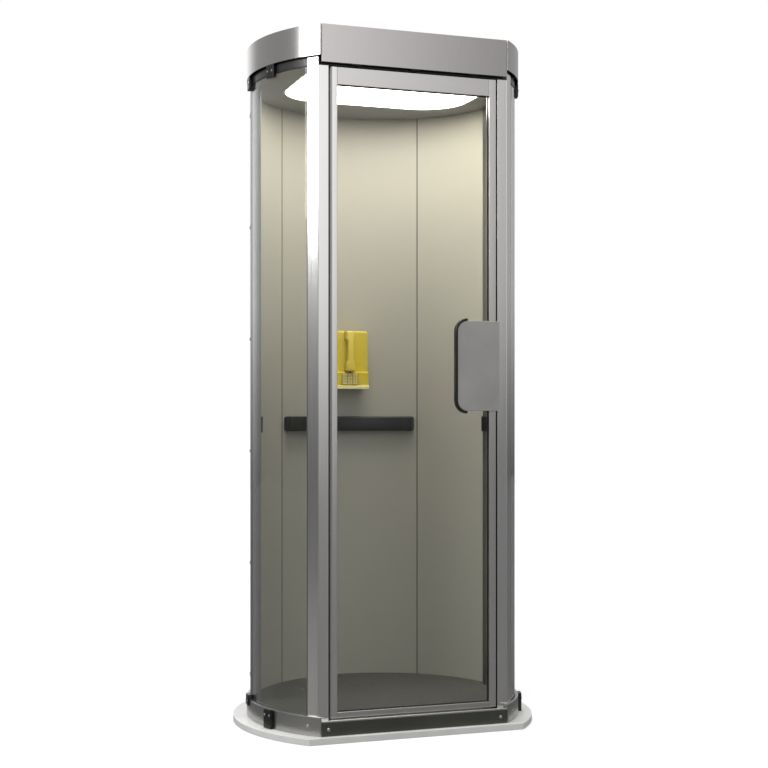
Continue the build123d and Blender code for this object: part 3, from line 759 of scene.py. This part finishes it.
def makeFixings():
    # angles in degrees from the back, faces are radii, sizes scale the one screw head
    clamp = {"size": 0.8, "rear": 85.0, "side": 109.0, "pair": 1.5, "topFace": 0.466, "topRise": 0.006,
             "rearFace": 0.471, "rearDrop": 0.005, "sideFace": 0.477, "sideDrop": 0.018}
    panel = {"size": 1.0, "face": 0.453, "angles": (33.8, 38.2, 75.6, 80.2), "rows": 6, "margin": 0.09}
    plinth = {"size": 1.1, "face": 0.465, "angles": (20, 60, 130), "level": 0.051, "frontHalf": 0.296}
    ceiling = {"size": 0.7, "face": 0.428, "angles": (8, 30, 55, 102), "frontLine": -0.263,
               "frontPlaces": (-0.2, 0.0, 0.2)}
    roof = {"size": 1.3, "face": 0.448, "reach": 120, "step": 20, "frontLine": -0.316,
            "frontPlaces": (-0.24, -0.08, 0.08, 0.24)}
    head, tree = screwHead(), fixingTree()
    sides = (-1, 1)

    def outward(radius, angle, z):
        return polar(radius, angle, z), polar(1, angle)

    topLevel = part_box("header_frame")[0].z + clamp["topRise"]
    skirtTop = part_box("plinth_skirt")[1].z
    turns = (-clamp["pair"], clamp["pair"])
    clamps = []
    for side in sides:
        for middle in (clamp["rear"], clamp["side"]):
            for turn in turns:
                clamps.append(outward(clamp["topFace"], side * (middle + turn), topLevel))
        for turn in turns:
            clamps.append(outward(clamp["rearFace"], side * (clamp["rear"] + turn),
                                  skirtTop - clamp["rearDrop"]))
            clamps.append(outward(clamp["sideFace"], side * (clamp["side"] + turn),
                                  skirtTop - clamp["sideDrop"]))
    fixings("clampScrews", clamps, head, tree, clamp["size"], "booth")

    panels = []
    panelLow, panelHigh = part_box("rear_panel_centre")
    height = panelHigh.z - panelLow.z - 2 * panel["margin"]
    for row in range(panel["rows"]):
        z = panelLow.z + panel["margin"] + height * row / (panel["rows"] - 1)
        panels += [outward(panel["face"], side * angle, z) for side in sides for angle in panel["angles"]]
    fixings("panelScrews", panels, head, tree, panel["size"], "booth")

    frontLow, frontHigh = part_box("plinth_front")
    front = [(Vector((x, frontLow.y, (frontLow.z + frontHigh.z) / 2)), Vector((0, -1, 0)))
             for x in (-plinth["frontHalf"], plinth["frontHalf"])]
    skirt = [outward(plinth["face"], side * angle, plinth["level"])
             for side in sides for angle in plinth["angles"]]
    fixings("plinthScrews", front + skirt, head, tree, plinth["size"], "booth")

    level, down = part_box("ceiling_panel")[0].z, Vector((0, 0, -1))
    under = [(polar(ceiling["face"], side * angle, level), down)
             for side in sides for angle in ceiling["angles"]]
    under += [(Vector((x, ceiling["frontLine"], level)), down) for x in ceiling["frontPlaces"]]
    fixings("ceilingScrews", under, head, tree, ceiling["size"], "booth")

    level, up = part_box("roof_pan")[1].z, Vector((0, 0, 1))
    top = [(polar(roof["face"], angle, level), up)
           for angle in range(-roof["reach"], roof["reach"] + 1, roof["step"])]
    top += [(Vector((x, roof["frontLine"], level)), up) for x in roof["frontPlaces"]]
    fixings("roofScrews", top, head, tree, roof["size"], "booth")
    bpy.data.objects.remove(head)
    print("screws:", sum(len(places) for places in (clamps, panels, front, skirt, under, top)))


def makeStuds():
    values = {"pitch": 0.021, "reach": 0.405, "front": -0.268, "sink": 0.0001}
    stud, tree = matStud(), studTree()
    mesh = bpy.data.meshes.new("matStuds")
    settings = {"Stud": stud, "Pitch": values["pitch"], "Reach": values["reach"],
                "Front": values["front"], "Level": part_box("floor_mat")[1].z - values["sink"],
                "Finish": finishes["matRubber"]}
    studs = runTree("matStuds", mesh, tree, settings, "matRubber")
    bpy.data.objects.remove(stud)
    addDetail(studs, "booth")
    print("mat studs ready:", len(studs.data.polygons), "faces")


makeFixings()
makeStuds()


def makeStage():
    values = {"size": 30.0, "drop": 0.0006, "paint": 0.13, "seen": 0.80, "glow": 0.42}
    mesh = bpy.data.meshes.new("floor")
    half, z = values["size"] / 2, -values["drop"]
    corners = [(-half, -half, z), (half, -half, z), (half, half, z), (-half, half, z)]
    mesh.from_pydata(corners, [], [(0, 1, 2, 3)])
    floor = bpy.data.objects.new("floor", mesh)
    bpy.context.scene.collection.objects.link(floor)
    material, tree, shader = newMaterial("floorPaint")
    shader.inputs["Base Color"].default_value = (values["paint"],) * 3 + (1,)
    shader.inputs["Roughness"].default_value = 0.6
    pale = tree.nodes.new("ShaderNodeBsdfPrincipled")
    pale.inputs["Base Color"].default_value = (values["seen"],) * 3 + (1,)
    pale.inputs["Roughness"].default_value = 0.7
    pale.inputs["Emission Color"].default_value = (1, 1, 1, 1)
    pale.inputs["Emission Strength"].default_value = values["glow"]
    path = tree.nodes.new("ShaderNodeLightPath")
    mix = tree.nodes.new("ShaderNodeMixShader")
    tree.links.new(path.outputs["Is Camera Ray"], mix.inputs["Fac"])
    tree.links.new(shader.outputs["BSDF"], mix.inputs[1])
    tree.links.new(pale.outputs["BSDF"], mix.inputs[2])
    tree.links.new(mix.outputs["Shader"], tree.nodes["Material Output"].inputs["Surface"])
    mesh.materials.append(material)


def areaLight(name, place, target, width, height, power):
    data = bpy.data.lights.new(name, "AREA")
    data.shape = "RECTANGLE"
    data.size, data.size_y = width, height
    data.energy = power
    light = bpy.data.objects.new(name, data)
    light.location = place
    light.rotation_euler = (Vector(target) - Vector(place)).to_track_quat("-Z", "Y").to_euler()
    light.visible_camera = False
    bpy.context.scene.collection.objects.link(light)


def makeLight():
    # the room is darker near the ground and brighter above eye level, and it falls off to both
    # sides, quickest just right of the middle
    values = {"strength": 1.35, "key": 110, "keyPlace": (-4.5, -0.95, 3.7), "keyAim": (-0.3, -0.3, 2.0),
              "keyWidth": 1.35, "keyHeight": 3.0, "rise": (-0.12, 0.2),
              "upward": ((0.0, 0.17), (0.22, 0.20), (0.41, 0.44), (0.62, 0.90), (0.85, 1.0)),
              "across": ((0.05, 0.30), (0.25, 0.36), (0.42, 0.85), (0.64, 1.0), (0.66, 0.70),
                         (0.70, 0.33), (0.95, 0.34))}
    world = bpy.data.worlds.new("studio")
    bpy.context.scene.world = world
    world.use_nodes = True
    tree = world.node_tree
    back = tree.nodes["Background"]
    back.inputs["Color"].default_value = (1, 1, 1, 1)
    back.inputs["Strength"].default_value = 1.0
    coords = tree.nodes.new("ShaderNodeTexCoord")
    split = tree.nodes.new("ShaderNodeSeparateXYZ")
    tree.links.new(coords.outputs["Generated"], split.inputs[0])
    upward = colourRamp(tree, spread(tree, split.outputs["Z"], 0, 1, *values["rise"]),
                        [(place, (grey,) * 3) for place, grey in values["upward"]])
    across = colourRamp(tree, spread(tree, split.outputs["X"], 0, 1, -1.0, 1.0),
                        [(place, (grey,) * 3) for place, grey in values["across"]])
    shade = tree.nodes.new("ShaderNodeMixRGB")
    shade.blend_type = "MULTIPLY"
    shade.inputs["Fac"].default_value = 1.0
    tree.links.new(upward, shade.inputs["Color1"])
    tree.links.new(across, shade.inputs["Color2"])
    soft = tree.nodes.new("ShaderNodeBackground")
    tree.links.new(shade.outputs["Color"], soft.inputs["Color"])
    soft.inputs["Strength"].default_value = values["strength"]
    path = tree.nodes.new("ShaderNodeLightPath")
    mix = tree.nodes.new("ShaderNodeMixShader")
    tree.links.new(path.outputs["Is Camera Ray"], mix.inputs["Fac"])
    tree.links.new(soft.outputs["Background"], mix.inputs[1])
    tree.links.new(back.outputs["Background"], mix.inputs[2])
    tree.links.new(mix.outputs["Shader"], tree.nodes["World Output"].inputs["Surface"])
    areaLight("keyLeft", values["keyPlace"], values["keyAim"], values["keyWidth"], values["keyHeight"],
              values["key"])


def makeCamera():
    values = {"place": (-1.6429, -4.7074, 1.0369), "turn": 19.3, "lens": 67.93, "lift": 0.0396,
              "sensor": 36.0, "far": 100}
    data = bpy.data.cameras.new("camera")
    data.lens = values["lens"]
    data.sensor_width = values["sensor"]
    data.shift_y = values["lift"]
    data.clip_end = values["far"]
    camera = bpy.data.objects.new("camera", data)
    camera.location = values["place"]
    camera.rotation_euler = (radians(90), 0, -radians(values["turn"]))
    bpy.context.scene.collection.objects.link(camera)
    bpy.context.scene.camera = camera


makeStage()
makeLight()
makeCamera()
bpy.context.scene.view_settings.view_transform = "Standard"
bpy.context.scene.view_settings.look = "None"
print("stage, light and camera ready")
